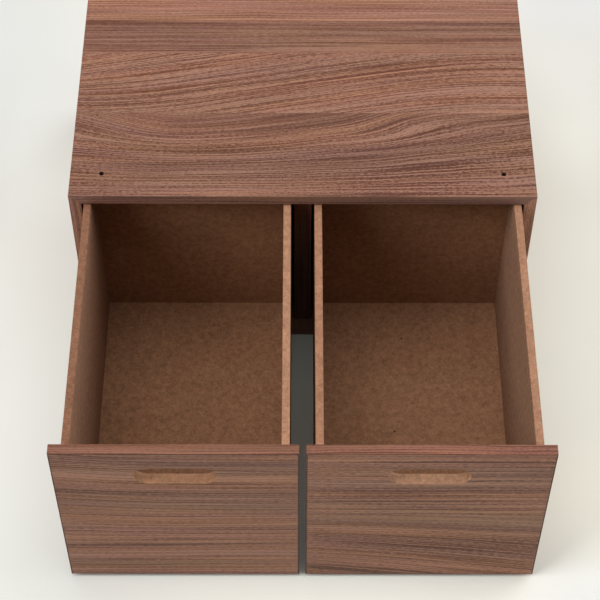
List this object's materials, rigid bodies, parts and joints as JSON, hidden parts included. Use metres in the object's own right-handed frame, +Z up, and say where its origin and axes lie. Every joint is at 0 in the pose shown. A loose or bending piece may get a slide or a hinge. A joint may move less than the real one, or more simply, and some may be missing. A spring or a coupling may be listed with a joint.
{
  "type": "cd storage drawer",
  "caption": "Low tabletop chest in walnut veneer for disc cases, with deep side-by-side drawers; each is an open fibreboard box that slides out by a finger slot cut through its front.",
  "frame": {"origin": "centre of the carcass's rectangular footprint, on its underside", "axes": "+Z up, +Y towards the back, drawers slide out along -Y, +X to the right as seen from the front"},
  "size_m": [0.37, 0.5075, 0.185],
  "materials": {
    "walnut_board": "satin walnut veneer over fibreboard, grain across the width",
    "edge_band": "satin walnut edge band",
    "fibreboard": "plain sanded medium-density fibreboard, matt",
    "joint_wood": "plain beech, unfinished",
    "steel": "plain steel pins"
  },
  "bodies": {
    "carcass": {"top_panel": "walnut_board", "bottom_panel": "walnut_board", "left_side_panel": "walnut_board", "right_side_panel": "walnut_board", "divider_panel": "walnut_board", "back_panel": "fibreboard", "top_edge_band": "edge_band", "bottom_edge_band": "edge_band", "left_edge_band": "edge_band", "right_edge_band": "edge_band", "divider_edge_band": "edge_band", "corner_splines": "joint_wood", "divider_dowels": "joint_wood", "back_pins": "steel"},
    "left_drawer": {"left_front_panel": "walnut_board", "left_front_top_band": "edge_band", "left_front_bottom_band": "edge_band", "left_front_outer_band": "edge_band", "left_front_inner_band": "edge_band", "left_box_outer_side": "fibreboard", "left_box_inner_side": "fibreboard", "left_box_back": "fibreboard", "left_box_bottom": "fibreboard", "left_box_nails": "steel"},
    "right_drawer": {"right_front_panel": "walnut_board", "right_front_top_band": "edge_band", "right_front_bottom_band": "edge_band", "right_front_outer_band": "edge_band", "right_front_inner_band": "edge_band", "right_box_outer_side": "fibreboard", "right_box_inner_side": "fibreboard", "right_box_back": "fibreboard", "right_box_bottom": "fibreboard", "right_box_nails": "steel"}
  },
  "joints": [
    {"name": "left_drawer_slide", "type": "slide", "parent": "carcass", "child": "left_drawer", "axis": [0, -1, 0], "range_m": [-0.2277, 0.012]},
    {"name": "right_drawer_slide", "type": "slide", "parent": "carcass", "child": "right_drawer", "axis": [0, -1, 0], "range_m": [-0.2277, 0.012]}
  ]
}
